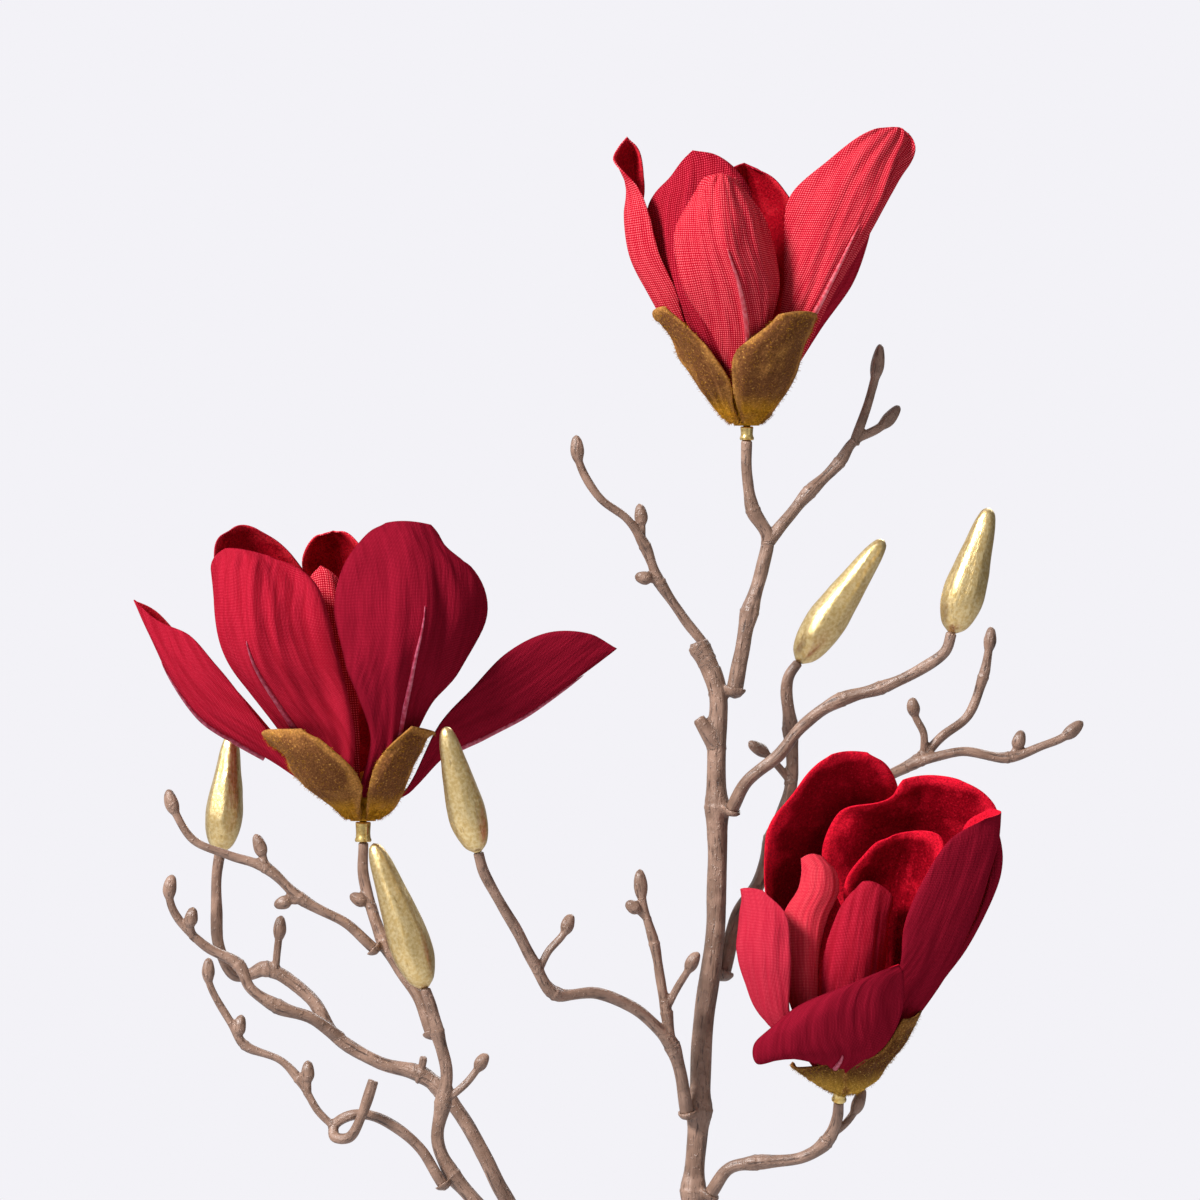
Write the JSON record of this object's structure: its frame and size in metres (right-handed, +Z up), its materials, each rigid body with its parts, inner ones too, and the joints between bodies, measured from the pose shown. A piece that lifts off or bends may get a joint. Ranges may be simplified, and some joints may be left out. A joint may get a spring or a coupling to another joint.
{
  "type": "artificial magnolia stem",
  "caption": "Tall artificial magnolia stem: a brown bark-textured trunk with plugged wire-cored branches, red cloth blooms in fuzzy calyxes, and gilded closed buds.",
  "frame": {"origin": "centre of the cut lower end of the stem, on the end face of its core wire", "axes": "+Z up the trunk, +X to the viewer's right; the viewer stands at -Y"},
  "size_m": [0.3186, 0.0977, 0.8204],
  "materials": {
    "bark_plastic": "moulded bark with a faint sheen",
    "core_wire": "cut wire",
    "gilded_bud": "gilded, lightly pitted",
    "gold_socket": "gold coating, glossy",
    "bloom_core": "foam",
    "petal_cloth": "woven outside, velvet inside",
    "sepal_velvet": "flocked, fuzzy"
  },
  "bodies": {
    "trunk": {"trunk": "bark_plastic", "core_wire": "core_wire"},
    "top_spray": {"top_spray": "bark_plastic"},
    "upper_left_twig": {"upper_left_twig": "bark_plastic"},
    "right_branch": {"right_branch": "bark_plastic", "gilded_bud_far_right": "gilded_bud"},
    "rear_branch": {"rear_branch": "bark_plastic", "gilded_bud_top_right": "gilded_bud"},
    "right_bloom_branch": {"right_bloom_branch": "bark_plastic"},
    "mid_left_branch": {"mid_left_branch": "bark_plastic", "gilded_bud_centre": "gilded_bud"},
    "left_limb": {"left_limb": "bark_plastic"},
    "left_rear_stem": {"left_rear_stem": "bark_plastic", "gilded_bud_far_left": "gilded_bud"},
    "left_front_stem": {"left_front_stem": "bark_plastic", "curled_twig": "bark_plastic", "gilded_bud_left": "gilded_bud"},
    "left_bloom_stem": {"left_bloom_stem": "bark_plastic", "left_side_twig": "bark_plastic"},
    "top_bloom_socket": {"top_bloom_socket": "gold_socket"},
    "top_bloom": {"top_bloom_core": "bloom_core", "top_bloom_petal_back": "petal_cloth", "top_bloom_petal_back_left": "petal_cloth", "top_bloom_petal_front": "petal_cloth", "top_bloom_petal_right": "petal_cloth", "top_bloom_petal_back_right": "petal_cloth", "top_bloom_petal_left_curled": "petal_cloth", "top_bloom_sepal_left": "sepal_velvet", "top_bloom_sepal_right": "sepal_velvet", "top_bloom_sepal_back": "sepal_velvet"},
    "left_bloom_socket": {"left_bloom_socket": "gold_socket"},
    "left_bloom": {"left_bloom_core": "bloom_core", "left_bloom_petal_inner": "petal_cloth", "left_bloom_petal_back_left": "petal_cloth", "left_bloom_petal_back": "petal_cloth", "left_bloom_petal_front_left": "petal_cloth", "left_bloom_petal_front": "petal_cloth", "left_bloom_petal_left_open": "petal_cloth", "left_bloom_petal_right_open": "petal_cloth", "left_bloom_sepal_left": "sepal_velvet", "left_bloom_sepal_right": "sepal_velvet", "left_bloom_sepal_back": "sepal_velvet"},
    "right_bloom_socket": {"right_bloom_socket": "gold_socket"},
    "right_bloom": {"right_bloom_core": "bloom_core", "right_bloom_petal_inner": "petal_cloth", "right_bloom_petal_inner_right": "petal_cloth", "right_bloom_petal_inner_left": "petal_cloth", "right_bloom_petal_back_right": "petal_cloth", "right_bloom_petal_back": "petal_cloth", "right_bloom_petal_left": "petal_cloth", "right_bloom_petal_right": "petal_cloth", "right_bloom_petal_right_outer": "petal_cloth", "right_bloom_petal_front": "petal_cloth", "right_bloom_sepal_left": "sepal_velvet", "right_bloom_sepal_right": "sepal_velvet", "right_bloom_sepal_back": "sepal_velvet"}
  },
  "joints": [
    {"name": "top_spray_bend", "type": "hinge", "parent": "trunk", "child": "top_spray", "pos_m": [0.01411, 0.00053, 0.63414], "axis": [0.9989, 0, -0.0475], "range_deg": [-20, 20]},
    {"name": "upper_left_twig_bend", "type": "hinge", "parent": "trunk", "child": "upper_left_twig", "pos_m": [0.0076, 0.0063, 0.63261], "axis": [0.8801, 0, 0.4747], "range_deg": [-20, 5]},
    {"name": "right_branch_bend", "type": "hinge", "parent": "trunk", "child": "right_branch", "pos_m": [0.0133, -0.00424, 0.594], "axis": [0.6289, 0, -0.7775], "range_deg": [-5, 16]},
    {"name": "rear_branch_bend", "type": "hinge", "parent": "trunk", "child": "rear_branch", "pos_m": [0.01014, 0.00481, 0.53951], "axis": [0.9707, 0, -0.2402], "range_deg": [-20, 5]},
    {"name": "right_bloom_branch_bend", "type": "hinge", "parent": "trunk", "child": "right_bloom_branch", "pos_m": [0.00623, -0.0032, 0.46577], "axis": [0.5988, 0, -0.8009], "range_deg": [-5, 20]},
    {"name": "mid_left_branch_bend", "type": "hinge", "parent": "trunk", "child": "mid_left_branch", "pos_m": [-0.00212, -0.00561, 0.49323], "axis": [0.7832, 0, 0.6218], "range_deg": [0, 20]},
    {"name": "left_limb_bend", "type": "hinge", "parent": "trunk", "child": "left_limb", "pos_m": [-0.00759, 0, 0.36], "axis": [0.8786, 0, 0.4776], "range_deg": [-15, 0]},
    {"name": "left_rear_stem_bend", "type": "hinge", "parent": "left_limb", "child": "left_rear_stem", "pos_m": [-0.04213, 0.00643, 0.42653], "axis": [0.7917, 0, 0.6109], "range_deg": [-20, 0]},
    {"name": "left_front_stem_bend", "type": "hinge", "parent": "left_limb", "child": "left_front_stem", "pos_m": [-0.04359, -0.00647, 0.42564], "axis": [0.9223, 0, 0.3865], "range_deg": [-3, 3]},
    {"name": "left_bloom_stem_bend", "type": "hinge", "parent": "left_front_stem", "child": "left_bloom_stem", "pos_m": [-0.08709, -0.00935, 0.52014], "axis": [0.9378, 0, 0.3473], "range_deg": [-10, 3]},
    {"name": "top_bloom_pull", "type": "slide", "parent": "top_spray", "child": "top_bloom_socket", "axis": [0, 0, 1], "range_m": [0, 0.012]},
    {"name": "top_bloom_turn", "type": "hinge", "parent": "top_bloom_socket", "child": "top_bloom", "pos_m": [0.018, 0.003, 0.716], "axis": [0, 0, 1], "continuous": true},
    {"name": "left_bloom_pull", "type": "slide", "parent": "left_bloom_stem", "child": "left_bloom_socket", "axis": [0, 0, 1], "range_m": [0, 0.012]},
    {"name": "left_bloom_turn", "type": "hinge", "parent": "left_bloom_socket", "child": "left_bloom", "pos_m": [-0.11, 0.002, 0.582], "axis": [0, 0, 1], "range_deg": [-15, 30]},
    {"name": "right_bloom_pull", "type": "slide", "parent": "right_bloom_branch", "child": "right_bloom_socket", "axis": [0.0742, -0.446, 0.892], "range_m": [0, 0.012]},
    {"name": "right_bloom_turn", "type": "hinge", "parent": "right_bloom_socket", "child": "right_bloom", "pos_m": [0.048, -0.022, 0.497], "axis": [0.0742, -0.446, 0.892], "range_deg": [-30, 25]}
  ]
}
